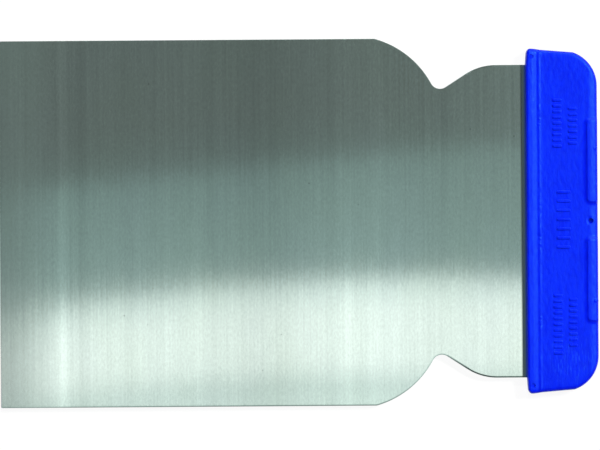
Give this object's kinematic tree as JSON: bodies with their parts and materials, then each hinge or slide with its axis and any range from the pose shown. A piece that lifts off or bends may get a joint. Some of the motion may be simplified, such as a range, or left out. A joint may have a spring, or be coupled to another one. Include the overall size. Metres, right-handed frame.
{
  "type": "putty knife",
  "caption": "Flexible filling knife: a wide thin steel blade with a finger notch in each side, held by a slim moulded plastic back, for drawing putty or filler smooth.",
  "frame": {"origin": "under the middle of the knife's box, on the plane that the lower raised strips of the back rest on", "axes": "+X from the working edge to the back, +Y along the working edge, +Z out of the face that carries the gate mark"},
  "size_m": [0.1304, 0.08, 0.0054],
  "materials": {
    "spring_steel": "ground, with fine lines along the working edge",
    "blue_plastic": "satin, as moulded"
  },
  "bodies": {
    "root": {"blade": "spring_steel", "moulded_back": "blue_plastic"}
  },
  "joints": []
}
